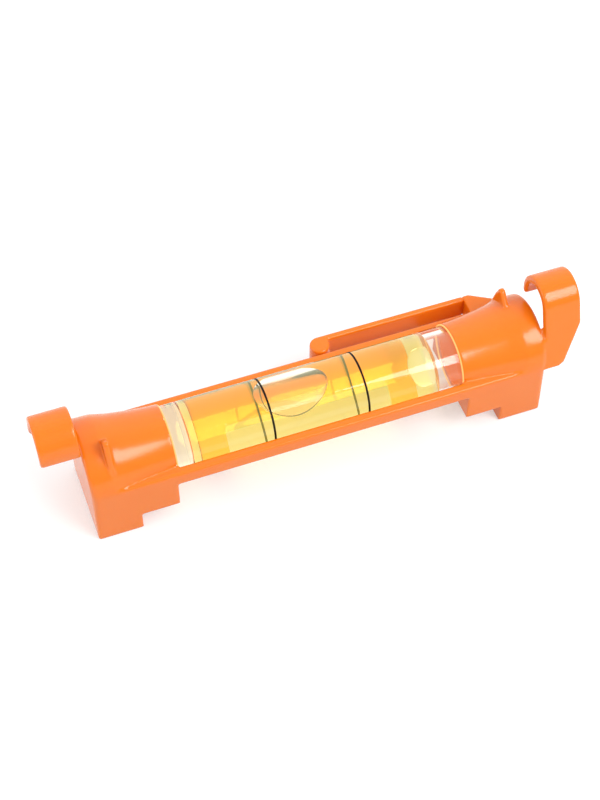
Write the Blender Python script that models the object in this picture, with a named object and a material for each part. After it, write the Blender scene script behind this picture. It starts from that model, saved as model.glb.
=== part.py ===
"""A line level: a moulded frame with a hook at each end, a bubble vial and a pocket clip.

Millimetre sizes below are read as metres. +X runs along the level, -Y is its front, and the feet stand on
Z = 0. Inside the script Y = 0 is the vial's axis; the parent empty moves that to the middle of the width.
"""

import math

import bmesh
import bpy
from mathutils import Matrix, Vector

MM = 0.001

# Frame: overall sizes
half_length = 36.65 * MM
half_width = 7.2 * MM
axis_height = 10.0 * MM
deck_rise = 1.0 * MM
deck_thickness = 2.55 * MM
deck_edge_round = 0.35 * MM

# Frame: end blocks and stepped feet
block_lead = 0.45 * MM
foot_length = 7.05 * MM
step_height = 3.44 * MM
foot_edge_round = 0.3 * MM
side_corner_round = 1.0 * MM
shoulder_round = 0.6 * MM
shoulder_full_angle = math.radians(40)

# Frame: sockets that hold the vial, flaring into the end blocks
socket_grip = 3.85 * MM
rim_wall = 0.2 * MM
flare_power = 1.5
collar_length = 2.15 * MM
blend_length = 5.45 * MM
stop_wall = 1.6 * MM
stop_ledge = 0.95 * MM

# Frame: open cradle under the vial
cradle_half_length = 17.8 * MM
cradle_wall = 0.8 * MM
cradle_gap = 0.35 * MM
window_half_length = 13.3 * MM
window_half_width = 3.3 * MM

# Hooks for the string
hook_thickness = 1.35 * MM
hook_arch_radius = 4.0 * MM
hook_arch_rise = 8.75 * MM
hook_lip_drop = 1.45 * MM
hook_foot_drop = 0.05 * MM
hook_inner_reach = 0.05 * MM
hook_outer_reach = 6.05 * MM
hook_root_depth = 1.65 * MM
hook_root_low_rise = 3.6 * MM
hook_root_high_rise = 5.3 * MM
hook_foot_reach = 2.45 * MM
hook_taper_reach = 3.15 * MM
hook_taper_low_rise = 0.4 * MM
hook_taper_high_rise = 6.4 * MM
hook_edge_round = 0.3 * MM

# Upright fins on the sockets
fin_setback = 4.2 * MM
fin_thickness = 0.95 * MM
fin_edge_round = 0.18 * MM
fin_top_reach = 3.6 * MM
fin_top_rise = 8.95 * MM
fin_top_width = 0.7 * MM
fin_inner_reach = 0.9 * MM
fin_inner_rise = 6.4 * MM
fin_shoulder_reach = 4.9 * MM
fin_shoulder_rise = 7.0 * MM
fin_foot_reach = 7.05 * MM
fin_foot_rise = 0.4 * MM

# Pocket clip and the web that it springs from
clip_reach = 3.4 * MM
clip_thickness = 1.0 * MM
clip_height = 3.8 * MM
clip_root_setback = 6.75 * MM
clip_seam = 0.15 * MM
clip_edge_round = 0.18 * MM
clip_boss_radius = 1.6 * MM
clip_length = 26.65 * MM
web_thickness = 1.1 * MM
web_end_setback = 0.35 * MM
web_end_rise = 0.3 * MM
web_sink = 1.2 * MM

# Vial: moulded barrel, plug, spirit and bubble
vial_radius = 5.45 * MM
vial_half_length = 27.0 * MM
vial_chamfer = 0.3 * MM
socket_fit = 0.15 * MM
bore_radius = 4.45 * MM
bore_crown = 0.1 * MM
blind_end_wall = 6.7 * MM
bore_fillet = 0.4 * MM
plug_end_wall = 7.5 * MM
plug_head = 0.9 * MM
plug_fit = 0.12 * MM
plug_nose_radius = 2.2 * MM
plug_nose_length = 3.6 * MM
spirit_fit = 0.15 * MM
bubble_centre = -3.3 * MM
bubble_length = 11.7 * MM
bubble_width = 6.8 * MM
bubble_depth = 2.1 * MM
bubble_gap = 0.3 * MM

# Reading lines printed round the vial
line_offset = 7.61 * MM
line_width = 0.55 * MM
line_thickness = 0.1 * MM
line_gap = 0.05 * MM

# How far a cutter runs past what it cuts, and how far a joined blank's faces lie inside the end blocks' own
overrun = 1.0 * MM
blank_inset = 0.004 * MM

# Counts of facets and stations
corner_points = 4
socket_points = 20
turned_segments = 72
flare_stations = 11
shoulder_stations = 7
arch_stations = 16
tip_stations = 4
boss_points = 20
bore_stations = 9
bubble_rings = 9
bubble_segments = 40
edge_segments = 2
smooth_angle = math.radians(35)

# Sizes that follow from those above
deck_top = axis_height + deck_rise
deck_bottom = deck_top - deck_thickness
rim_start = vial_half_length - socket_grip
block_start = rim_start + block_lead
foot_start = half_length - foot_length
flare_end = half_length - collar_length
blend_start = half_length - blend_length
socket_radius = vial_radius + socket_fit
rim_radius = socket_radius + rim_wall
cradle_radius = vial_radius + cradle_gap
vial_stop = -(vial_half_length + socket_fit)
bore_start = -(vial_half_length - blind_end_wall)
bore_finish = vial_half_length - plug_end_wall
hook_arch_height = axis_height + hook_arch_rise
hook_foot_height = axis_height - hook_foot_drop
hook_taper_low = axis_height + hook_taper_low_rise
hook_taper_high = axis_height + hook_taper_high_rise
hook_root_low = axis_height + hook_root_low_rise
hook_root_high = axis_height + hook_root_high_rise
clip_root = half_length - clip_root_setback
clip_outer_face = half_width + clip_reach
clip_inner_face = clip_outer_face - clip_thickness
clip_bottom = deck_top - clip_height


def shares(count):
    """Evenly spaced values from 0 to 1."""
    return [i / (count - 1) for i in range(count)]


def smooth_step(value, low, high):
    """0 below low, 1 above high and a smooth rise between them."""
    t = min(max((value - low) / (high - low), 0), 1)
    return t * t * (3 - 2 * t)


def mix(a, b, t):
    return a + (b - a) * t


def arc(centre_y, centre_z, radius, start, stop, count):
    """Points on a circle in the YZ plane, from one angle to another."""
    points = []
    for share in shares(count):
        angle = mix(start, stop, share)
        points.append((centre_y + radius * math.cos(angle), centre_z + radius * math.sin(angle)))
    return points


def material(name, colour, roughness, alpha=1):
    made = bpy.data.materials.new(name)
    made.use_nodes = True
    shader = made.node_tree.nodes["Principled BSDF"]
    shader.inputs["Base Color"].default_value = (*colour, 1)
    shader.inputs["Roughness"].default_value = roughness
    shader.inputs["Metallic"].default_value = 0
    shader.inputs["Alpha"].default_value = alpha
    made.diffuse_color = (*colour, alpha)
    return made


def add_object(name, bm, parent, finish=None):
    """Turns a bmesh into a named, smooth shaded object under its parent."""
    bmesh.ops.recalc_face_normals(bm, faces=bm.faces)
    mesh = bpy.data.meshes.new(name)
    bm.to_mesh(mesh)
    bm.free()
    mesh.shade_smooth()
    mesh.set_sharp_from_angle(angle=smooth_angle)
    if finish:
        mesh.materials.append(finish)
    made = bpy.data.objects.new(name, mesh)
    bpy.context.scene.collection.objects.link(made)
    made.parent = parent
    return made


def add_helper(name, bm, parent):
    """A shape that is only joined to, or cut from, the frame."""
    made = add_object(name, bm, parent)
    made.hide_render = True
    made.display_type = "WIRE"
    return made


def add_empty(name, location, parent=None):
    made = bpy.data.objects.new(name, None)
    bpy.context.scene.collection.objects.link(made)
    made.parent = parent
    made.location = location
    return made


def combine(target, tool, operation):
    modifier = target.modifiers.new(tool.name, "BOOLEAN")
    modifier.operation = operation
    modifier.object = tool
    modifier.solver = "EXACT"


def round_edges(target, width):
    modifier = target.modifiers.new("rounded_edges", "BEVEL")
    modifier.width = width
    modifier.segments = edge_segments
    modifier.limit_method = "ANGLE"
    modifier.angle_limit = smooth_angle


def loft(rings):
    """A closed solid through rings of points that correspond one to one."""
    bm = bmesh.new()
    rows = [[bm.verts.new(point) for point in ring] for ring in rings]
    for near, far in zip(rows, rows[1:]):
        for i, vert in enumerate(near):
            j = (i + 1) % len(near)
            bm.faces.new((vert, near[j], far[j], far[i]))
    bm.faces.new(rows[0])
    bm.faces.new(rows[-1])
    return bm


def prism_along_x(outline, start, stop):
    """Extrudes an outline in Y and Z along X."""
    return loft([[(x, y, z) for y, z in outline] for x in (start, stop)])


def prism_along_y(outline, start, stop):
    """Extrudes an outline in X and Z along Y."""
    return loft([[(x, y, z) for x, z in outline] for y in (start, stop)])


def prism_along_z(outline, start, stop):
    """Extrudes an outline in X and Y along Z."""
    return loft([[(x, y, z) for x, y in outline] for z in (start, stop)])


def turned(profile):
    """Spins a profile of (x, radius) points about the vial's axis; its ends lie on that axis."""
    bm = bmesh.new()
    rows = []
    for x, radius in profile[1:-1]:
        row = []
        for i in range(turned_segments):
            angle = math.tau * (i + 1 / 2) / turned_segments
            row.append(bm.verts.new((x, radius * math.cos(angle), axis_height + radius * math.sin(angle))))
        rows.append(row)
    for near, far in zip(rows, rows[1:]):
        for i in range(turned_segments):
            j = (i + 1) % turned_segments
            bm.faces.new((near[i], near[j], far[j], far[i]))
    for (x, _), row in ((profile[0], rows[0]), (profile[-1], rows[-1])):
        tip = bm.verts.new((x, 0, axis_height))
        for i in range(turned_segments):
            bm.faces.new((row[i], row[(i + 1) % turned_segments], tip))
    return bm


def half_turn(bm):
    """Turns a right-hand shape round the vertical axis to make the left-hand one."""
    bmesh.ops.rotate(bm, verts=bm.verts, cent=(0, 0, 0), matrix=Matrix.Rotation(math.pi, 3, "Z"))
    return bm


# Frame blanks


def flare_radius(x):
    """Outer radius of a socket, from its thin rim to the full width of the end block."""
    share = min(max((x - rim_start) / (flare_end - rim_start), 0), 1)
    return mix(rim_radius, half_width, share**flare_power)


def block_outline(x):
    """Half of an end block's section: foot corner, deck edge and socket, blending into an arched end."""
    foot = arc(half_width - foot_edge_round, foot_edge_round, foot_edge_round, -math.pi / 2, 0, corner_points)
    edge_centre = (half_width - deck_edge_round, deck_top - deck_edge_round)
    edge = arc(*edge_centre, deck_edge_round, 0, math.pi / 2, corner_points)
    radius = flare_radius(x)
    meets_deck = math.asin((deck_top - axis_height) / radius)
    socket = arc(0, axis_height, radius, meets_deck, math.pi / 2, socket_points)
    arched = arc(0, axis_height, half_width, 0, math.pi / 2, corner_points + socket_points)
    blend = smooth_step(x, blend_start, flare_end)
    upper = []
    for (y1, z1), (y2, z2) in zip(edge + socket, arched):
        upper.append((mix(y1, y2, blend), mix(z1, z2, blend)))
    return foot, upper


def end_inset(x, radius):
    """How far a rounded end edge has drawn in at x."""
    along = x - (half_length - radius)
    if along <= 0:
        return 0
    return radius - math.sqrt(max(radius * radius - along * along, 0))


def block_ring(x):
    """The whole section of the right end block at x, drawn in by the rounding of its end."""
    foot, upper = block_outline(x)
    half = []
    for share, (y, z) in zip(shares(len(foot)), foot):
        angle = mix(-math.pi / 2, 0, share)
        inset = end_inset(x, foot_edge_round)
        half.append((y - inset * math.cos(angle), z - inset * math.sin(angle)))
    for share, (y, z) in zip(shares(len(upper)), upper):
        angle = share * math.pi / 2
        radius = mix(side_corner_round, shoulder_round, smooth_step(angle, 0, shoulder_full_angle))
        inset = end_inset(x, radius)
        half.append((y - inset * math.cos(angle), z - inset * math.sin(angle)))
    other = [(-y, z) for y, z in reversed(half[:-1])]
    return [(x, y, z) for y, z in half + other]


def end_block():
    stations = [mix(rim_start, flare_end, share) for share in shares(flare_stations)]
    for share in shares(shoulder_stations):
        stations.append(half_length - side_corner_round * (1 - math.sin(share * math.pi / 2)))
    return loft([block_ring(x) for x in stations])


def foot_steps():
    """The space below an end block: the step over its foot, and the room under the rail."""
    low = -overrun
    inner = rim_start - overrun
    outline = [
        (inner, low),
        (foot_start, low),
        (foot_start, step_height),
        (block_start, step_height),
        (block_start, deck_bottom),
        (inner, deck_bottom),
    ]
    reach = half_width + overrun
    return prism_along_y(outline, -reach, reach)


def deck():
    """The flat deck that becomes the two rails once the vial's channel is cut."""
    edge_y = half_width - blank_inset - deck_edge_round
    edge_z = deck_top - blank_inset - deck_edge_round
    side = arc(edge_y, edge_z, deck_edge_round, 0, math.pi / 2, corner_points)
    half = [(half_width - blank_inset, deck_bottom + blank_inset)] + side
    outline = half + [(-y, z) for y, z in reversed(half)]
    return prism_along_x(outline, -block_start, block_start)


def cradle():
    outer = cradle_radius + cradle_wall
    outline = arc(0, axis_height, outer, -math.pi, 0, turned_segments // 2 + 1)
    return prism_along_x(outline, -cradle_half_length, cradle_half_length)


def channel_cut():
    """Room for the vial between the rails and in the cradle."""
    end = rim_start - socket_fit
    return turned([(-end, 0), (-end, cradle_radius), (end, cradle_radius), (end, 0)])


def socket_cut():
    """Open at the right-hand end, where the vial goes in, and narrower behind its stop at the left."""
    blind_end = -(half_length - stop_wall)
    mouth = half_length + overrun
    narrow = socket_radius - stop_ledge
    return turned(
        [
            (blind_end, 0),
            (blind_end, narrow),
            (vial_stop, narrow),
            (vial_stop, socket_radius),
            (mouth, socket_radius),
            (mouth, 0),
        ]
    )


def window_cut():
    outline = [
        (-window_half_width, -overrun),
        (window_half_width, -overrun),
        (window_half_width, axis_height - window_half_width),
        (-window_half_width, axis_height - window_half_width),
    ]
    return prism_along_x(outline, -window_half_length, window_half_length)


# Hooks


def hook_path():
    """Centre line of the right hook in Y and Z, with its outward normal and the share of its thickness."""
    radius = hook_arch_radius - hook_thickness / 2
    foot = Vector((-(half_width - hook_thickness / 2), hook_foot_height - hook_arch_height))
    tangent = math.atan2(foot.y, foot.x) + math.tau - math.acos(radius / foot.length)
    top = radius * Vector((math.cos(tangent), math.sin(tangent)))
    normal = top.normalized()
    path = []
    heights = [
        hook_foot_height,
        hook_taper_low,
        hook_root_low,
        (hook_root_low + hook_root_high) / 2,
        hook_root_high,
        hook_taper_high,
        hook_taper_high + hook_thickness,
    ]
    for height in heights:
        share = (height - hook_foot_height) / (top.y + hook_arch_height - hook_foot_height)
        path.append((foot.lerp(top, share), normal, 1))
    for share in shares(arch_stations):
        angle = mix(tangent, 0, share)
        normal = Vector((math.cos(angle), math.sin(angle)))
        path.append((radius * normal, normal, 1))
    tip_length = hook_thickness / 2
    for share in shares(tip_stations + 1)[1:-1]:
        turn = share * math.pi / 2
        drop = hook_lip_drop - tip_length + tip_length * math.sin(turn)
        path.append((Vector((radius, -drop)), normal, math.cos(turn)))
    return path


def hook_edges(height):
    """Where the hook's strip starts and stops along X at a height."""
    rise = smooth_step(height, hook_root_low, hook_root_high)
    inner = half_length + mix(-hook_root_depth, hook_inner_reach, rise)
    if height < hook_taper_low:
        share = (height - hook_foot_height) / (hook_taper_low - hook_foot_height)
        return inner, half_length + mix(hook_foot_reach, hook_taper_reach, max(share, 0))
    share = min((height - hook_taper_low) / (hook_taper_high - hook_taper_low), 1)
    return inner, half_length + mix(hook_taper_reach, hook_outer_reach, share)


def hook():
    """A strip swept up its stem, over the arch and down to its lip, with rounded edges."""
    rings = []
    for centre, normal, fullness in hook_path():
        height = centre.y + hook_arch_height
        on_stem = centre.x < 0 and height < hook_arch_height
        inner, outer = hook_edges(height if on_stem else hook_arch_height)
        half = hook_thickness / 2 * fullness
        corner = min(hook_edge_round, half)
        middle = (inner + outer) / 2
        reach = (outer - inner) / 2 - corner
        ring = []
        for side, level, start in ((1, 1, 0), (-1, 1, 1), (-1, -1, 2), (1, -1, 3)):
            for turn in (0, 1 / 2, 1):
                angle = (start + turn) * math.pi / 2
                along = middle + side * reach + corner * math.cos(angle)
                out = level * (half - corner) + corner * math.sin(angle)
                point = centre + out * normal
                ring.append((along, point.x, point.y + hook_arch_height))
        rings.append(ring)
    return loft(rings)


def fin():
    """The upright tooth on the back of the right-hand socket, where wound string is held."""
    outline = [
        (fin_inner_reach, axis_height + fin_inner_rise),
        (fin_top_reach - fin_top_width / 2, axis_height + fin_top_rise),
        (fin_top_reach + fin_top_width / 2, axis_height + fin_top_rise),
        (fin_shoulder_reach, axis_height + fin_shoulder_rise),
        (fin_foot_reach, axis_height + fin_foot_rise),
        (fin_inner_reach, axis_height + fin_foot_rise),
    ]
    start = half_length - fin_setback
    return prism_along_x(outline, start, start + fin_thickness)


def clip_web():
    """The web on the back of the right-hand block that carries the clip."""
    inner = half_width - web_sink
    end = half_length - web_end_setback
    outline = [
        (clip_root, inner),
        (clip_root, clip_outer_face),
        (clip_root + web_thickness, clip_outer_face),
        (end, half_width + web_end_rise),
        (end, inner),
    ]
    return prism_along_z(outline, clip_bottom, deck_top - blank_inset)


def build_frame(parent, finish):
    """Joins the moulding's parts, then cuts the sockets, the channel and the window."""
    frame = add_object("frame", deck(), parent, finish)
    joined = [add_helper("cradle_blank", cradle(), parent)]
    for side, place in (("right", lambda bm: bm), ("left", half_turn)):
        block = add_helper(f"end_block_{side}", place(end_block()), parent)
        steps = add_helper(f"foot_steps_{side}", place(foot_steps()), parent)
        combine(block, steps, "DIFFERENCE")
        tooth = add_helper(f"fin_{side}", place(fin()), parent)
        round_edges(tooth, fin_edge_round)
        joined += [block, tooth, add_helper(f"hook_{side}", place(hook()), parent)]
    web = add_helper("clip_web", clip_web(), parent)
    round_edges(web, clip_edge_round)
    joined.append(web)
    for piece in joined:
        combine(frame, piece, "UNION")
    for name, cut in (("channel", channel_cut), ("socket", socket_cut), ("window", window_cut)):
        combine(frame, add_helper(f"{name}_cut", cut(), parent), "DIFFERENCE")
    return frame


# Pocket clip


def build_clip(parent, finish):
    """A thin spring arm that ends in an upright boss against the back rail; its parent is at its root."""
    root_x, root_y, _ = parent.location
    centre_x = clip_root - clip_length + clip_boss_radius
    centre_y = clip_outer_face - clip_boss_radius
    start = -math.asin((clip_inner_face - centre_y) / clip_boss_radius)
    arm_end = clip_root - clip_seam
    outline = [(arm_end, clip_outer_face), (arm_end, clip_inner_face)]
    for share in shares(boss_points):
        angle = mix(start, math.pi * 3 / 2, share)
        outline.append((centre_x + clip_boss_radius * math.cos(angle), centre_y - clip_boss_radius * math.sin(angle)))
    local = [(x - root_x, y - root_y) for x, y in outline]
    clip = add_object("pocket_clip", prism_along_z(local, clip_bottom, deck_top), parent, finish)
    round_edges(clip, clip_edge_round)
    return clip


# Vial


def bore_profile(x):
    """Radius of the barrel-shaped bore, widest over the middle so that the bubble comes back there."""
    reach = (bore_finish - bore_start) / 2
    share = (x - (bore_start + bore_finish) / 2) / reach
    return bore_radius - bore_crown * share * share


def crowned(start, stop, gap):
    """Stations along the bore, with a gap left all round."""
    stations = [mix(start, stop, share) for share in shares(bore_stations)]
    return [(x, bore_profile(x) - gap) for x in stations]


def build_barrel(parent, finish):
    """The moulded barrel: solid at the left, open at the right for the plug."""
    end = vial_half_length - plug_head - plug_fit
    mouth_radius = bore_profile(bore_finish)
    outside = [
        (-vial_half_length, 0),
        (-vial_half_length, vial_radius - vial_chamfer),
        (-vial_half_length + vial_chamfer, vial_radius),
        (end, vial_radius),
        (end, mouth_radius),
    ]
    inside = crowned(bore_finish, bore_start + bore_fillet, 0)
    closed_end = [(bore_start, bore_profile(bore_start) - bore_fillet), (bore_start, 0)]
    return add_object("vial_barrel", turned(outside + inside + closed_end), parent, finish)


def nose_profile(radius, tip):
    """The round nose of the plug, from its tip back to its full radius."""
    points = [(tip, 0)]
    for share in shares(corner_points * 2)[1:]:
        angle = share * math.pi / 2
        points.append((tip + radius * (1 - math.cos(angle)), radius * math.sin(angle)))
    return points


def build_plug(parent, finish):
    radius = bore_profile(bore_finish) - plug_fit
    head_start = vial_half_length - plug_head
    profile = nose_profile(plug_nose_radius, bore_finish - plug_nose_length)
    profile += [
        (bore_finish, plug_nose_radius),
        (bore_finish, radius),
        (head_start, radius),
        (head_start, vial_radius),
        (vial_half_length - vial_chamfer, vial_radius),
        (vial_half_length, vial_radius - vial_chamfer),
        (vial_half_length, 0),
    ]
    return add_object("vial_plug", turned(profile), parent, finish)


def bubble_ceiling():
    """Height of the highest point of the bubble's path."""
    return axis_height + bore_profile(bubble_centre) - bubble_gap - bore_crown


def build_spirit(parent, finish):
    """The spirit, open along its top where the bubble runs, and hollowed round the plug's nose."""
    start = bore_start + spirit_fit
    stop = bore_finish - spirit_fit
    body = [(start, 0), (start, bore_profile(bore_start) - bore_fillet - spirit_fit)]
    body += crowned(start + bore_fillet, stop, spirit_fit) + [(stop, 0)]
    spirit = add_object("spirit", turned(body), parent, finish)
    floor = bubble_ceiling() - bubble_depth - bubble_gap
    reach = bore_radius + overrun
    above = axis_height + reach
    outline = [(-reach, floor), (reach, floor), (reach, above), (-reach, above)]
    run = prism_along_x(outline, start - overrun, stop + overrun)
    combine(spirit, add_helper("bubble_run", run, parent), "DIFFERENCE")
    hollow_radius = plug_nose_radius + bubble_gap
    tip = bore_finish - plug_nose_length - bubble_gap
    hollow = nose_profile(hollow_radius, tip)
    hollow += [(bore_finish + overrun, hollow_radius), (bore_finish + overrun, 0)]
    combine(spirit, add_helper("nose_hollow", turned(hollow), parent), "DIFFERENCE")
    return spirit


def build_bubble(parent, finish):
    """A lens of air whose top follows the bore; its parent is at the middle of its top."""
    bm = bmesh.new()
    curve = bubble_ceiling() - axis_height

    def rim_point(ring, i, sign):
        radius_share = ring / bubble_rings
        angle = math.tau * i / bubble_segments
        x = bubble_length / 2 * radius_share * math.cos(angle)
        y = bubble_width / 2 * radius_share * math.sin(angle)
        top = math.sqrt(curve * curve - y * y) - curve
        thickness = bubble_depth * math.sqrt(1 - radius_share * radius_share)
        return x, y, top - thickness * sign

    rim = [bm.verts.new(rim_point(bubble_rings, i, 0)) for i in range(bubble_segments)]
    for sign in (0, 1):
        previous = rim
        for ring in range(bubble_rings - 1, 0, -1):
            row = [bm.verts.new(rim_point(ring, i, sign)) for i in range(bubble_segments)]
            for i in range(bubble_segments):
                j = (i + 1) % bubble_segments
                bm.faces.new((previous[i], previous[j], row[j], row[i]))
            previous = row
        tip = bm.verts.new(rim_point(0, 0, sign))
        for i in range(bubble_segments):
            bm.faces.new((previous[i], previous[(i + 1) % bubble_segments], tip))
    return add_object("bubble", bm, parent, finish)


def build_line(name, centre, parent, finish):
    """One reading line: a thin printed band round the barrel."""
    inner = vial_radius + line_gap
    outer = inner + line_thickness
    low = centre - line_width / 2
    high = centre + line_width / 2
    bm = bmesh.new()
    rows = []
    for x, radius in ((low, inner), (low, outer), (high, outer), (high, inner)):
        row = []
        for i in range(turned_segments):
            angle = math.tau * (i + 1 / 2) / turned_segments
            row.append(bm.verts.new((x, radius * math.cos(angle), axis_height + radius * math.sin(angle))))
        rows.append(row)
    for near, far in zip(rows, rows[1:] + rows[:1]):
        for i in range(turned_segments):
            j = (i + 1) % turned_segments
            bm.faces.new((near[i], near[j], far[j], far[i]))
    return add_object(name, bm, parent, finish)


def build_level():
    for old in list(bpy.data.objects):
        bpy.data.objects.remove(old)
    level = add_empty("line_level", (0, -clip_reach / 2, 0))
    clip_hinge = add_empty("clip_hinge", (clip_root, clip_outer_face, 0), level)
    bubble_slide = add_empty("bubble_slide", (bubble_centre, 0, bubble_ceiling()), level)
    build_frame(level, material("frame_orange", (0.90, 0.26, 0.03), 0.32))
    build_clip(clip_hinge, material("clip_orange", (0.90, 0.26, 0.03), 0.32))
    build_barrel(level, material("clear_acrylic", (0.97, 0.96, 0.92), 0.05, alpha=0.25))
    build_plug(level, material("plug_acrylic", (0.95, 0.93, 0.88), 0.08, alpha=0.4))
    build_spirit(level, material("yellow_spirit", (0.93, 0.84, 0.12), 0.05, alpha=0.6))
    build_bubble(bubble_slide, material("air", (1, 0.98, 0.86), 0.05, alpha=0.35))
    build_line("level_line_left", -line_offset, level, material("line_black_left", (0.02, 0.02, 0.02), 0.45))
    build_line("level_line_right", line_offset, level, material("line_black_right", (0.02, 0.02, 0.02), 0.45))


build_level()
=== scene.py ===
import math

import bmesh
import bpy
from mathutils import Matrix, Vector


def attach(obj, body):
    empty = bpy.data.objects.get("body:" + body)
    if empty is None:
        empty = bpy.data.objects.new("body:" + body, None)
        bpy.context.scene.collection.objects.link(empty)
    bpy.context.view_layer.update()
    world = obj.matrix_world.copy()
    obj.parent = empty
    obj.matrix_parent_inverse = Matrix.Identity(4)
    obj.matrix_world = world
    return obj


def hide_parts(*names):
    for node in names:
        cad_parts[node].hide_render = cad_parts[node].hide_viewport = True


MM = 0.001

# Places taken from the solids' own sizes
vial_radius = 5.45 * MM
vial_half_length = 27.0 * MM
vial_edge_round = 0.4 * MM
axis_y = -1.7 * MM
axis_z = 10.0 * MM
bore_radius = 4.45 * MM
bore_crown = 0.1 * MM
bore_start = -20.3 * MM
bore_finish = 19.5 * MM
bore_corner = 0.8 * MM
plug_head_start = 26.1 * MM
plug_radius = 4.2 * MM
nose_radius = 2.2 * MM
nose_length = 3.6 * MM
bubble_centre = -3.3 * MM
bubble_half_length = 5.85 * MM
bubble_half_width = 3.55 * MM
bubble_depth = 2.25 * MM
bubble_fullness = 2.6
line_offset = 7.61 * MM

# Small parts and fits of the dressed pieces
spirit_gap = 0.02 * MM
bubble_gap = 0.06 * MM
line_width = 0.33 * MM
line_proud = 0.03 * MM
line_buried = 0.03 * MM
root_overlap = 0.4 * MM
rim_place = 23.12 * MM
rim_bead_radius = 0.12 * MM
rim_bead_seat = 0.16 * MM

# How fine the meshes are
segments = 128
corner_points = 5
bore_steps = 24
nose_steps = 8
bead_sides = 12
bubble_rings = 24
bubble_sides = 96
smooth_angle = math.radians(40)
weld_distance = 0.002 * MM
melt_size = 0.2 * MM
melt_passes = 3
kept_share = 0.3

# Which faces get which of a piece's materials; the frame's cradle, socket and window faces get plastics with
# painted light
outer_slot, inner_slot = range(2)
plain_slot, cradle_slot, socket_slot, window_slot = range(4)
cradle_skin = 0.5 * MM
cradle_outside = 6.8 * MM
window_drop = 3.0 * MM
window_reach = 13.6 * MM
facing_axis = -0.3
facing_out = 0.5

# Orange plastic
plastic_deep = (0.79, 0.172, 0.004)
plastic_light = (0.82, 0.186, 0.006)
plastic_ior = 1.5
shiny = (0.16, 0.24)
satin = (0.40, 0.48)
lip_rough = (0.30, 0.38)
soak_share = 0.15
soak_colours = (1.0, 0.35, 0.08)
soak_depth = 1.5 * MM
grain_scale = 900
grain_detail = 4
cloud_scale = 120
cloud_detail = 2
grain_strength = 0.08
grain_depth = 0.04 * MM

# Painted light: glows on the plastic round the vial, standing in for daylight that soaks through its thin
# walls, and a painted highlight on the socket lips
cradle_painted_glow = (0.12, 0.20, 0.015)
# Stronger painted glow at the cradle's floor, fading out over the height set next
cradle_floor_painted_glow = (0.35, 0.45, 0.12)
painted_glow_fade = 2.0 * MM
# Painted light inside the sockets
socket_painted_glow = (0.22, 0.06, 0.006)
# Painted light on the window's walls, over the shade there
window_painted_glow = (0.10, 0.60, 0.50)
# Painted highlight on the socket lips
rim_painted_highlight = (0.45, 0.45, 0.18)

# Acrylic, spirit, air and ink
acrylic_ior = 1.49
spirit_ior = 1.36
unbent = 1.0
acrylic_tint = (0.99, 0.93, 0.72)
acrylic_density = 150
plug_tint = (0.98, 0.93, 0.80)
plug_density = 40
plug_rough = 0.05
# Painted light: a glow that brightens the plug
plug_painted_glow = (0.05, 0.035, 0.03)
spirit_tint = (1.0, 0.91, 0.18)
spirit_density = 170
# Painted light: a glow that brightens the spirit
spirit_painted_glow = (0.04, 0.06, 0.035)
bubble_rough = 0.05
# Painted light: the bubble's glow and the pink tint of its air
bubble_painted_glow = (0.03, 0.008, 0.014)
bubble_painted_tint = (0.97, 0.87, 0.85)
haze_scale = 400
haze_detail = 2
haze_range = 0.015
ink_colour = (0.008, 0.005, 0.004)
# Painted light: paler ink for the ring's faces towards the spirit
ink_colour_painted_lighter = (0.16, 0.15, 0.05)
ink_rough = (0.45, 0.65)
ink_sheen = 0.2
ink_grain_scale = 1500
ink_grain_detail = 3
ink_grain_strength = 0.1
ink_grain_depth = 0.02 * MM

# Light levels, found from what the photographed plastic reflects
white_level = 1.0
horizon_level = 0.42
zenith_level = 1.3
room_level = 0.46
backdrop_level = 1.25
backdrop_near = -0.3
backdrop_far = 0.9
lamp_target = (0, 0, 10 * MM)
key_place = (273 * MM, -325 * MM, 434 * MM)
key_size = (310 * MM, 277 * MM)
key_power = 2.1
fill_place = (-420 * MM, -20 * MM, 160 * MM)
fill_size = (300 * MM, 250 * MM)
fill_power = 0.45

# Floor
floor_side = 3000 * MM
floor_colour = (0.6, 0.6, 0.6)
floor_rough = 0.7
floor_sheen = 0.2
floor_lift = 0.4

# Camera, fitted to the photograph
camera_azimuth = 0.3599
camera_elevation = 0.9234
camera_roll = -0.0097
camera_distance = 248.236 * MM
camera_target = (-1.732 * MM, -1.7 * MM, 10.639 * MM)
camera_near = 10 * MM
focal_pixels = 1619.18
image_long_side = 800
sensor_width = 36


# Meshes


def add_object(name, data):
    """Puts a mesh, lamp or camera in the scene."""
    made = bpy.data.objects.new(name, data)
    bpy.context.scene.collection.objects.link(made)
    return made


def lathe(name, rows):
    """A closed solid turned round the vial's axis from (x, radius) rows."""
    bm = bmesh.new()
    rings = []
    for x, radius in rows:
        if radius == 0:
            rings.append([bm.verts.new((x, axis_y, axis_z))])
            continue
        ring = []
        for i in range(segments):
            angle = math.tau * i / segments
            y = axis_y + radius * math.cos(angle)
            z = axis_z + radius * math.sin(angle)
            ring.append(bm.verts.new((x, y, z)))
        rings.append(ring)
    for near, far in zip(rings, rings[1:]):
        for i in range(segments):
            j = (i + 1) % segments
            if len(near) == 1:
                bm.faces.new((near[0], far[j], far[i]))
            elif len(far) == 1:
                bm.faces.new((near[i], near[j], far[0]))
            else:
                bm.faces.new((near[i], near[j], far[j], far[i]))
    bmesh.ops.recalc_face_normals(bm, faces=bm.faces)
    mesh = bpy.data.meshes.new(name)
    bm.to_mesh(mesh)
    bm.free()
    mesh.shade_smooth()
    mesh.set_sharp_from_angle(angle=smooth_angle)
    return add_object(name, mesh)


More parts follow.
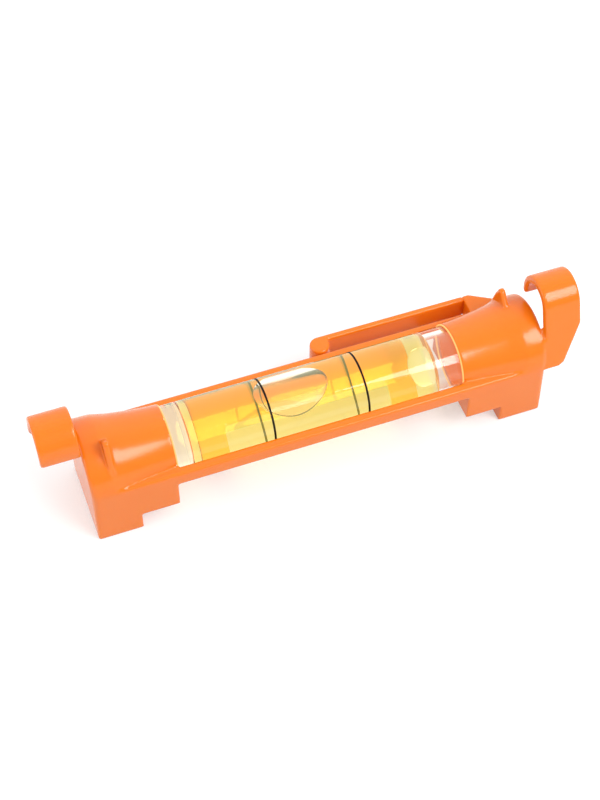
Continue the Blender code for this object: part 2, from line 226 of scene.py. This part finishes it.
def ring_round_axis(name, outline):
    """A closed ring turned round the vial's axis from an outline of (x, radius) points."""
    made = lathe(name, outline + outline[:1])
    bm = bmesh.new()
    bm.from_mesh(made.data)
    bmesh.ops.remove_doubles(bm, verts=bm.verts, dist=weld_distance)
    bmesh.ops.recalc_face_normals(bm, faces=bm.faces)
    bm.to_mesh(made.data)
    bm.free()
    return made


def round_corner(x, radius, size, start, stop):
    """Points round a corner whose arc is centred on (x, radius)."""
    rows = []
    for i in range(corner_points):
        angle = start + (stop - start) * i / (corner_points - 1)
        rows.append((x + size * math.cos(angle), radius + size * math.sin(angle)))
    return rows


def bore_profile(x):
    """The bore's radius at x: it is widest at its middle, where the bubble settles."""
    middle = (bore_start + bore_finish) / 2
    share = (x - middle) / ((bore_finish - bore_start) / 2)
    return bore_radius - bore_crown * share * share


def bore_rows(gap):
    """The bore from its blind end to its mouth, gap inside its wall."""
    start = bore_start + gap
    rows = [(start, 0)]
    corner_radius = bore_profile(bore_start + bore_corner) - gap - bore_corner
    rows += round_corner(start + bore_corner, corner_radius, bore_corner, math.pi, math.pi / 2)
    first = bore_start + bore_corner
    for i in range(1, bore_steps + 1):
        x = first + (bore_finish - gap - first) * i / bore_steps
        rows.append((x, bore_profile(x) - gap))
    return rows


def nose_row(tip, size, step):
    """One row of the plug's round nose, which starts at its tip."""
    angle = step / nose_steps * math.pi / 2
    return tip + size * (1 - math.cos(angle)), size * math.sin(angle)


def from_axis(face):
    """The way from the vial's axis to a face, at right angles to the axis."""
    return Vector((0, face.center.y - axis_y, face.center.z - axis_z))


def moulded(name, cad_name, grow_root=0):
    """A CAD node's shape with its sharp edges melted to small rounds, as they leave a mould."""
    bm = bmesh.new()
    bm.from_mesh(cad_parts[cad_name].data)
    bmesh.ops.remove_doubles(bm, verts=bm.verts, dist=weld_distance)
    root = max(vert.co.x for vert in bm.verts)
    for vert in bm.verts:
        if vert.co.x > root - weld_distance:
            vert.co.x += grow_root
    sharp = bpy.data.meshes.new(name)
    bm.to_mesh(sharp)
    bm.free()
    source = add_object(name + "_source", sharp)
    melt = source.modifiers.new("melt", "REMESH")
    melt.mode = "VOXEL"
    melt.voxel_size = melt_size
    smooth = source.modifiers.new("smooth", "SMOOTH")
    smooth.iterations = melt_passes
    fewer = source.modifiers.new("fewer", "DECIMATE")
    fewer.ratio = kept_share
    graph = bpy.context.evaluated_depsgraph_get()
    mesh = bpy.data.meshes.new_from_object(source.evaluated_get(graph))
    bpy.data.objects.remove(source)
    mesh.name = name
    mesh.materials.clear()
    mesh.shade_smooth()
    return add_object(name, mesh)


# Shader pieces


def new_material(name):
    made = bpy.data.materials.new(name)
    made.use_nodes = True
    tree = made.node_tree
    shader = tree.nodes["Principled BSDF"]
    return made, tree, shader


def node(tree, kind, **inputs):
    made = tree.nodes.new(kind)
    for key, value in inputs.items():
        made.inputs[key].default_value = value
    return made


def noise(tree, scale, detail):
    """A noise value that stays with the piece."""
    coords = tree.nodes.new("ShaderNodeTexCoord")
    made = node(tree, "ShaderNodeTexNoise", Scale=scale, Detail=detail)
    tree.links.new(coords.outputs["Object"], made.inputs["Vector"])
    return made.outputs["Fac"]


def coordinate(tree, space, letter):
    """X, Y or Z in a texture space."""
    coords = tree.nodes.new("ShaderNodeTexCoord")
    parts = tree.nodes.new("ShaderNodeSeparateXYZ")
    tree.links.new(coords.outputs[space], parts.inputs[0])
    return parts.outputs[letter]


def ramp(tree, source, low, high, start=0, stop=1, smooth=False):
    """Maps start to low and stop to high."""
    made = tree.nodes.new("ShaderNodeMapRange")
    if smooth:
        made.interpolation_type = "SMOOTHSTEP"
    for socket, value in (("From Min", start), ("From Max", stop), ("To Min", low), ("To Max", high)):
        made.inputs[socket].default_value = value
    tree.links.new(source, made.inputs["Value"])
    return made.outputs["Result"]


def mix_colours(tree, share, low, high):
    """Low where share is 0, high where it is 1."""
    made = tree.nodes.new("ShaderNodeMix")
    made.data_type = "RGBA"
    tree.links.new(share, made.inputs[0])
    made.inputs[6].default_value = (*low, 1)
    made.inputs[7].default_value = (*high, 1)
    return made.outputs[2]


def pick(tree, share, low, high):
    """Low where share is 0, high where it is 1; either may be a number or a socket."""
    made = tree.nodes.new("ShaderNodeMix")
    tree.links.new(share, made.inputs[0])
    for socket, value in ((made.inputs[2], low), (made.inputs[3], high)):
        if isinstance(value, (int, float)):
            socket.default_value = value
        else:
            tree.links.new(value, socket)
    return made.outputs[0]


def strongest(tree, *sources):
    """The largest of several values."""
    value = sources[0]
    for source in sources[1:]:
        either = tree.nodes.new("ShaderNodeMath")
        either.operation = "MAXIMUM"
        tree.links.new(value, either.inputs[0])
        tree.links.new(source, either.inputs[1])
        value = either.outputs[0]
    return value


def bump(tree, shader, height, strength, distance):
    made = node(tree, "ShaderNodeBump", Strength=strength, Distance=distance)
    tree.links.new(height, made.inputs["Height"])
    tree.links.new(made.outputs["Normal"], shader.inputs["Normal"])


# The emission set here is painted light
def set_painted_glow(shader, painted_glow):
    shader.inputs["Emission Color"].default_value = (*painted_glow, 1)
    shader.inputs["Emission Strength"].default_value = 1


# Materials


def orange_plastic(name, rough_range, painted_glow=None):
    """Smooth moulded plastic; its glow, when given, is painted light: on the thin walls round the vial it
    stands in for daylight that soaks through them, and on the socket lips it is a painted highlight.
    """
    made, tree, shader = new_material(name)
    if painted_glow:
        set_painted_glow(shader, painted_glow)
    speck = noise(tree, grain_scale, grain_detail)
    cloud = noise(tree, cloud_scale, cloud_detail)
    tree.links.new(mix_colours(tree, cloud, plastic_deep, plastic_light), shader.inputs["Base Color"])
    tree.links.new(ramp(tree, speck, *rough_range), shader.inputs["Roughness"])
    shader.inputs["IOR"].default_value = plastic_ior
    shader.inputs["Subsurface Weight"].default_value = soak_share
    shader.inputs["Subsurface Radius"].default_value = soak_colours
    shader.inputs["Subsurface Scale"].default_value = soak_depth
    bump(tree, shader, speck, grain_strength, grain_depth)
    return made


def cradle_painted_glow_plastic():
    """The cradle's inside, with a painted glow that is stronger towards its floor."""
    made = orange_plastic("orange_plastic_cradle_painted_glow", satin, cradle_painted_glow)
    tree = made.node_tree
    vial_bottom = axis_z - vial_radius
    height = coordinate(tree, "Object", "Z")
    share = ramp(tree, height, 0, 1, vial_bottom, vial_bottom + painted_glow_fade, smooth=True)
    painted_glow = mix_colours(tree, share, cradle_floor_painted_glow, cradle_painted_glow)
    tree.links.new(painted_glow, tree.nodes["Principled BSDF"].inputs["Emission Color"])
    return made


def let_light_through(tree, shader):
    """Lamps, and light that comes off dull surfaces, pass straight through, so what is inside is lit."""
    path = tree.nodes.new("ShaderNodeLightPath")
    either = strongest(tree, path.outputs["Is Shadow Ray"], path.outputs["Is Diffuse Ray"])
    open_way = tree.nodes.new("ShaderNodeBsdfTransparent")
    mixer = tree.nodes.new("ShaderNodeMixShader")
    tree.links.new(either, mixer.inputs[0])
    tree.links.new(shader.outputs["BSDF"], mixer.inputs[1])
    tree.links.new(open_way.outputs["BSDF"], mixer.inputs[2])
    tree.links.new(mixer.outputs["Shader"], tree.nodes["Material Output"].inputs["Surface"])


def clear_material(name, ior, rough=0.0, colour=(1, 1, 1), painted_glow=None):
    """Clear stuff with a faint haze; a glow, when given, is painted light."""
    made, tree, shader = new_material(name)
    let_light_through(tree, shader)
    if painted_glow:
        set_painted_glow(shader, painted_glow)
    shader.inputs["Base Color"].default_value = (*colour, 1)
    shader.inputs["Transmission Weight"].default_value = 1
    shader.inputs["IOR"].default_value = ior
    haze = noise(tree, haze_scale, haze_detail)
    tree.links.new(ramp(tree, haze, rough, rough + haze_range), shader.inputs["Roughness"])
    return made


def fill_with_colour(material, tint, density):
    """Colours what is seen through a clear material, the more the thicker it is."""
    tree = material.node_tree
    volume = node(tree, "ShaderNodeVolumeAbsorption", Color=(*tint, 1), Density=density)
    tree.links.new(volume.outputs["Volume"], tree.nodes["Material Output"].inputs["Volume"])


def barrel_acrylic():
    made = clear_material("acrylic", acrylic_ior)
    fill_with_colour(made, acrylic_tint, acrylic_density)
    return made


def plug_acrylic():
    """Acrylic whose nose stands in the spirit."""
    # The plug's glow is painted light
    made = clear_material("acrylic_plug", acrylic_ior / spirit_ior, plug_rough, painted_glow=plug_painted_glow)
    fill_with_colour(made, plug_tint, plug_density)
    return made


def yellow_spirit():
    """The spirit bends no light itself: the bore's faces are given the step from acrylic to spirit."""
    # The spirit's glow is painted light
    made = clear_material("yellow_spirit", unbent, painted_glow=spirit_painted_glow)
    fill_with_colour(made, spirit_tint, spirit_density)
    return made


def ink(name, colour):
    made, tree, shader = new_material(name)
    speck = noise(tree, ink_grain_scale, ink_grain_detail)
    tree.links.new(ramp(tree, speck, *ink_rough), shader.inputs["Roughness"])
    shader.inputs["Specular IOR Level"].default_value = ink_sheen
    shader.inputs["Base Color"].default_value = (*colour, 1)
    bump(tree, shader, speck, ink_grain_strength, ink_grain_depth)
    return made


# Pieces


def plastic_slot(face):
    """Which of the frame's plastics a face gets; the cradle, socket and window plastics carry painted light.
    """
    x = face.center.x
    outward = from_axis(face)
    turned_out = face.normal.dot(outward.normalized())
    if outward.length < vial_radius + cradle_skin and turned_out < facing_axis:
        return cradle_slot if bore_start < x < bore_finish else socket_slot
    if outward.length < cradle_outside and outward.z < -window_drop and abs(x) < window_reach:
        if turned_out < facing_out:
            return window_slot
    return plain_slot


def build_frame(plastic):
    piece = moulded("frame_moulded", "frame")
    piece.data.materials.append(plastic)
    # The cradle, socket and window plastics glow with painted light
    piece.data.materials.append(cradle_painted_glow_plastic())
    piece.data.materials.append(orange_plastic("orange_plastic_socket_painted_glow", satin, socket_painted_glow))
    piece.data.materials.append(orange_plastic("orange_plastic_window_painted_glow", satin, window_painted_glow))
    for face in piece.data.polygons:
        face.material_index = plastic_slot(face)
    return piece


def build_clip(plastic):
    """The clip, with its root sunk into the web so that no seam shows."""
    piece = moulded("pocket_clip_moulded", "pocket_clip", root_overlap)
    piece.data.materials.append(plastic)
    return piece


def build_rim_bead(name, x, plastic):
    """The small rounded lip at a socket's mouth, which catches the light; the plastic it is given adds a
    painted highlight.
    """
    outline = []
    for i in range(bead_sides):
        angle = math.tau * i / bead_sides
        radius = vial_radius + rim_bead_seat + rim_bead_radius * math.sin(angle)
        outline.append((x + rim_bead_radius * math.cos(angle), radius))
    bead = ring_round_axis(name, outline)
    bead.data.materials.append(plastic)
    return bead


def build_line(name, x, outside_ink, inside_ink_painted_lighter):
    """A printed ring round the barrel, with painted light: paler ink on its faces towards the spirit, which
    are seen through the spirit.
    """
    outer = vial_radius + line_proud
    inner = vial_radius - line_buried
    low = x - line_width / 2
    high = x + line_width / 2
    line = ring_round_axis(name, [(low, inner), (low, outer), (high, outer), (high, inner)])
    line.data.materials.append(outside_ink)
    line.data.materials.append(inside_ink_painted_lighter)
    for face in line.data.polygons:
        facing_spirit = face.normal.dot(from_axis(face)) < 0
        face.material_index = inner_slot if facing_spirit else outer_slot
    return line


def build_barrel():
    """The clear barrel: its outside is acrylic in air, its bore is acrylic against spirit."""
    size = vial_edge_round
    rows = [(-vial_half_length, 0)]
    rows += round_corner(-vial_half_length + size, vial_radius - size, size, math.pi, math.pi / 2)
    rows += [(plug_head_start, vial_radius), (plug_head_start, bore_profile(bore_finish))]
    rows += reversed(bore_rows(0))
    barrel = lathe("vial_barrel_clear", rows)
    barrel.data.materials.append(barrel_acrylic())
    barrel.data.materials.append(clear_material("acrylic_to_spirit", acrylic_ior / spirit_ior))
    for face in barrel.data.polygons:
        along_bore = bore_start - spirit_gap < face.center.x < bore_finish + spirit_gap
        on_bore = along_bore and from_axis(face).length < bore_radius + spirit_gap
        face.material_index = inner_slot if on_bore else outer_slot
    return barrel


def build_plug():
    """The plug, from its nose in the spirit to its head at the barrel's end."""
    tip = bore_finish - nose_length
    head = plug_head_start + spirit_gap
    size = vial_edge_round
    rows = [(tip, 0)]
    rows += [nose_row(tip, nose_radius, step) for step in range(1, nose_steps + 1)]
    rows += [(bore_finish, nose_radius), (bore_finish, plug_radius), (head, plug_radius), (head, vial_radius)]
    rows += round_corner(vial_half_length - size, vial_radius - size, size, math.pi / 2, 0)
    rows += [(vial_half_length, 0)]
    plug = lathe("vial_plug_clear", rows)
    plug.data.materials.append(plug_acrylic())
    return plug


def build_spirit():
    """The spirit fills the bore, hollowed round the plug's nose."""
    size = nose_radius + spirit_gap
    tip = bore_finish - nose_length - spirit_gap
    rows = bore_rows(spirit_gap)
    rows += [(bore_finish - spirit_gap, size)]
    rows += [nose_row(tip, size, step) for step in range(nose_steps - 1, -1, -1)]
    spirit = lathe("spirit_full", rows)
    spirit.data.materials.append(yellow_spirit())
    return spirit


def bubble_point(share, angle, low):
    """A point on the bubble's top, or on its underside; share runs from its middle to its rim."""
    curve = bore_radius - bubble_gap - bore_crown
    x = bubble_half_length * share * math.cos(angle)
    y = bubble_half_width * share * math.sin(angle)
    top = math.sqrt(curve * curve - y * y)
    depth = bubble_depth * (1 - share**bubble_fullness) ** 0.5 if low else 0
    return bubble_centre + x, axis_y + y, axis_z + top - depth


def build_bubble():
    """A lens of air that fits the top of the bore."""
    bm = bmesh.new()

    def ring_of_points(share, low):
        angles = [math.tau * i / bubble_sides for i in range(bubble_sides)]
        return [bm.verts.new(bubble_point(share, angle, low)) for angle in angles]

    rim = ring_of_points(1, False)
    for low in (False, True):
        previous = rim
        for ring in range(bubble_rings - 1, 0, -1):
            row = ring_of_points(math.sin(ring / bubble_rings * math.pi / 2), low)
            for i in range(bubble_sides):
                j = (i + 1) % bubble_sides
                bm.faces.new((previous[i], previous[j], row[j], row[i]))
            previous = row
        middle = bm.verts.new(bubble_point(0, 0, low))
        for i in range(bubble_sides):
            bm.faces.new((previous[i], previous[(i + 1) % bubble_sides], middle))
    bmesh.ops.recalc_face_normals(bm, faces=bm.faces)
    mesh = bpy.data.meshes.new("bubble_air")
    bm.to_mesh(mesh)
    bm.free()
    mesh.shade_smooth()
    # The air's pink tint and glow are painted light
    air = clear_material("air_in_spirit", 1 / spirit_ior, bubble_rough, bubble_painted_tint, bubble_painted_glow)
    mesh.materials.append(air)
    return add_object("bubble_air", mesh)


# Studio


def area_light(name, place, size, power):
    data = bpy.data.lights.new(name, "AREA")
    data.shape = "RECTANGLE"
    data.size, data.size_y = size
    data.energy = power
    made = add_object(name, data)
    made.location = place
    direction = Vector(lamp_target) - Vector(place)
    made.rotation_euler = direction.to_track_quat("-Z", "Y").to_euler()


def build_world():
    """White for the eye and through glass; gloss shows a white backdrop behind and a dimmer room in front."""
    world = bpy.data.worlds.new("studio")
    bpy.context.scene.world = world
    world.use_nodes = True
    tree = world.node_tree
    background = tree.nodes["Background"]
    background.inputs["Color"].default_value = (1, 1, 1, 1)
    path = tree.nodes.new("ShaderNodeLightPath")
    backward = coordinate(tree, "Generated", "Y")
    upward = coordinate(tree, "Generated", "Z")
    in_gloss = ramp(tree, backward, room_level, backdrop_level, backdrop_near, backdrop_far, smooth=True)
    on_dull = ramp(tree, upward, horizon_level, zenith_level)
    lighting = pick(tree, path.outputs["Is Glossy Ray"], on_dull, in_gloss)
    seen = strongest(tree, path.outputs["Is Camera Ray"], path.outputs["Is Transmission Ray"])
    tree.links.new(pick(tree, seen, lighting, white_level), background.inputs["Strength"])


def build_floor():
    """A pale floor that looks white to the eye, in gloss and through glass, and keeps the shadow."""
    bpy.ops.mesh.primitive_plane_add(size=floor_side, location=(0, 0, 0))
    floor = bpy.context.object
    floor.name = "floor"
    made, tree, shader = new_material("floor_white")
    shader.inputs["Base Color"].default_value = (*floor_colour, 1)
    shader.inputs["Roughness"].default_value = floor_rough
    shader.inputs["Specular IOR Level"].default_value = floor_sheen
    shader.inputs["Emission Color"].default_value = (1, 1, 1, 1)
    path = tree.nodes.new("ShaderNodeLightPath")
    rays = ("Is Camera Ray", "Is Glossy Ray", "Is Transmission Ray")
    seen = strongest(tree, *[path.outputs[ray] for ray in rays])
    tree.links.new(pick(tree, seen, 0.0, floor_lift), shader.inputs["Emission Strength"])
    floor.data.materials.append(made)


def build_camera():
    level = math.cos(camera_elevation)
    back_x = -math.sin(camera_azimuth) * level
    back_y = -math.cos(camera_azimuth) * level
    back = Vector((back_x, back_y, math.sin(camera_elevation)))
    right = back.cross(Vector((0, 0, -1))).normalized()
    up = back.cross(right)
    turned_right = math.cos(camera_roll) * right - math.sin(camera_roll) * up
    turned_up = math.sin(camera_roll) * right + math.cos(camera_roll) * up
    matrix = Matrix((turned_right, turned_up, back)).transposed().to_4x4()
    matrix.translation = Vector(camera_target) + camera_distance * back
    data = bpy.data.cameras.new("camera")
    data.sensor_width = sensor_width
    data.lens = sensor_width * focal_pixels / image_long_side
    data.clip_start = camera_near
    made = add_object("camera", data)
    made.matrix_world = matrix
    bpy.context.scene.camera = made


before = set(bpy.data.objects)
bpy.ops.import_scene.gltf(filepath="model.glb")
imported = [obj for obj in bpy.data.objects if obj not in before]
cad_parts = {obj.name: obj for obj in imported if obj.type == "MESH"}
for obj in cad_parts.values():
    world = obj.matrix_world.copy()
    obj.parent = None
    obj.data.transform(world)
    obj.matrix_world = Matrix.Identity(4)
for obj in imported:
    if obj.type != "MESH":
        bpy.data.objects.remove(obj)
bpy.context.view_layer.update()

plastic = orange_plastic("orange_plastic", shiny)
frame_piece = build_frame(plastic)
clip_piece = build_clip(plastic)
outside_ink = ink("black_ink", ink_colour)
inside_ink_painted_lighter = ink("black_ink_painted_lighter", ink_colour_painted_lighter)
left_line = build_line("ring_left", -line_offset, outside_ink, inside_ink_painted_lighter)
right_line = build_line("ring_right", line_offset, outside_ink, inside_ink_painted_lighter)

# The socket lips' plastic glows with a painted highlight
rim_painted_highlight_plastic = orange_plastic("orange_plastic_rim_painted_highlight", lip_rough, rim_painted_highlight)
for name, x in (("socket_lip_left", -rim_place), ("socket_lip_right", rim_place)):
    bead = build_rim_bead(name, x, rim_painted_highlight_plastic)
    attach(bead, "frame")

for piece, stood_for, body in (
    (frame_piece, "frame", "frame"),
    (clip_piece, "pocket_clip", "pocket_clip"),
    (left_line, "level_line_left", "frame"),
    (right_line, "level_line_right", "frame"),
    (build_barrel(), "vial_barrel", "frame"),
    (build_plug(), "vial_plug", "frame"),
    (build_spirit(), "spirit", "frame"),
    (build_bubble(), "bubble", "bubble"),
):
    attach(piece, body)
    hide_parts(stood_for)

build_floor()
build_world()
area_light("key", key_place, key_size, key_power)
area_light("fill", fill_place, fill_size, fill_power)
build_camera()

scene = bpy.context.scene
scene.view_settings.view_transform = "Standard"
